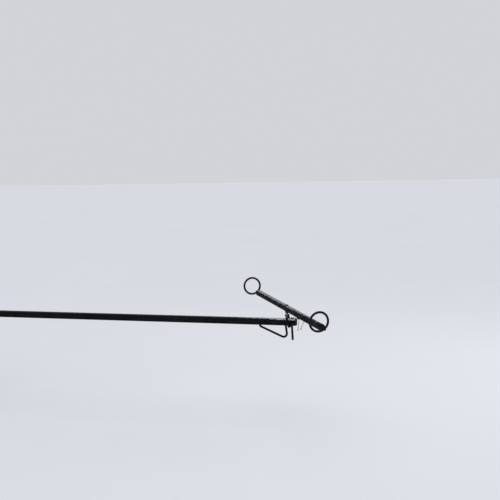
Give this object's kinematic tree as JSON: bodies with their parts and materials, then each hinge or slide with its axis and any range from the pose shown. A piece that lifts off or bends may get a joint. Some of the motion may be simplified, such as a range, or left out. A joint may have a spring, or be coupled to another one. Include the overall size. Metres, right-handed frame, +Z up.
{
  "type": "wagon pole with neck yoke and evener",
  "caption": "Team pole of a horse-drawn wagon: square steel tube with a braced hitch tube, yoke stop and drop pin, a neck yoke with rings, and a wooden evener with singletrees.",
  "frame": {"origin": "centre of the rear hitch bore, on the pole's axis", "axes": "+X forward along the pole, +Y along the hitch bore to the off side, +Z up"},
  "size_m": [3.5273, 2.063, 0.3037],
  "materials": {
    "pole_paint": "worn black paint with frost on top",
    "yoke_paint": "worn black paint, heavily frosted on top",
    "strap_steel": "black painted strap steel, worn at edges",
    "bolt_steel": "zinc plated steel, dulled",
    "rod_iron": "black rod, worn",
    "ring_iron": "black japanned ring",
    "forged_hook": "forged, dark with light rust",
    "thong_leather": "dark, weathered leather lace",
    "hardwood": "oiled, weathered ash"
  },
  "bodies": {
    "pole": {"pole_tube": "pole_paint", "pole_cap": "pole_paint", "pole_sleeve": "pole_paint", "hitch_tube": "pole_paint", "brace_near": "pole_paint", "brace_far": "pole_paint", "evener_wear_plate": "strap_steel", "hammer_strap": "strap_steel", "strap_bolts": "bolt_steel", "evener_pin": "bolt_steel", "yoke_stop": "rod_iron", "keeper_pin": "rod_iron", "yoke_link": "rod_iron", "thong_wrap": "thong_leather", "thong_tail_a": "thong_leather", "thong_tail_b": "thong_leather", "thong_knot_a": "thong_leather", "thong_knot_b": "thong_leather"},
    "yoke_swivel": {"yoke_swivel": "rod_iron"},
    "neck_yoke": {"yoke_bar": "yoke_paint", "yoke_boss": "rod_iron", "yoke_end_near": "yoke_paint", "yoke_end_far": "yoke_paint"},
    "breast_ring_near": {"breast_ring_near": "ring_iron"},
    "breast_ring_far": {"breast_ring_far": "ring_iron"},
    "evener": {"evener_beam": "hardwood", "evener_plates": "strap_steel", "evener_bush": "bolt_steel", "evener_end_plates_near": "strap_steel", "evener_end_plates_far": "strap_steel", "singletree_pin_near": "bolt_steel", "singletree_pin_far": "bolt_steel"},
    "singletree_near": {"singletree_near": "hardwood", "singletree_band_near": "strap_steel", "trace_hook_near_inner": "forged_hook", "trace_hook_near_outer": "forged_hook"},
    "singletree_far": {"singletree_far": "hardwood", "singletree_band_far": "strap_steel", "trace_hook_far_inner": "forged_hook", "trace_hook_far_outer": "forged_hook"}
  },
  "joints": [
    {"name": "yoke_tilt", "type": "hinge", "parent": "pole", "child": "yoke_swivel", "pos_m": [3.15, 0, 0.0383], "axis": [1, 0, 0], "range_deg": [-15, 15]},
    {"name": "yoke_swing", "type": "hinge", "parent": "yoke_swivel", "child": "neck_yoke", "pos_m": [3.15, 0, 0.08], "axis": [0, 0, 1], "range_deg": [-78, 12]},
    {"name": "ring_near_swing", "type": "hinge", "parent": "neck_yoke", "child": "breast_ring_near", "pos_m": [3.48128, -0.51603, 0.06127], "axis": [0.6771, 0.4126, 0.6094], "range_deg": [-72, 240]},
    {"name": "ring_far_swing", "type": "hinge", "parent": "neck_yoke", "child": "breast_ring_far", "pos_m": [2.81872, 0.51603, 0.09874], "axis": [-0.6771, -0.4126, -0.6094], "range_deg": [-72, 240]},
    {"name": "evener_swing", "type": "hinge", "parent": "pole", "child": "evener", "pos_m": [0.45, 0, 0.06], "axis": [0, 0, 1], "range_deg": [-25, 25]},
    {"name": "singletree_near_swing", "type": "hinge", "parent": "evener", "child": "singletree_near", "pos_m": [0.45, -0.6, 0.1201], "axis": [0, 0, 1], "range_deg": [-35, 35]},
    {"name": "singletree_far_swing", "type": "hinge", "parent": "evener", "child": "singletree_far", "pos_m": [0.45, 0.6, 0.1201], "axis": [0, 0, 1], "range_deg": [-35, 35]}
  ]
}
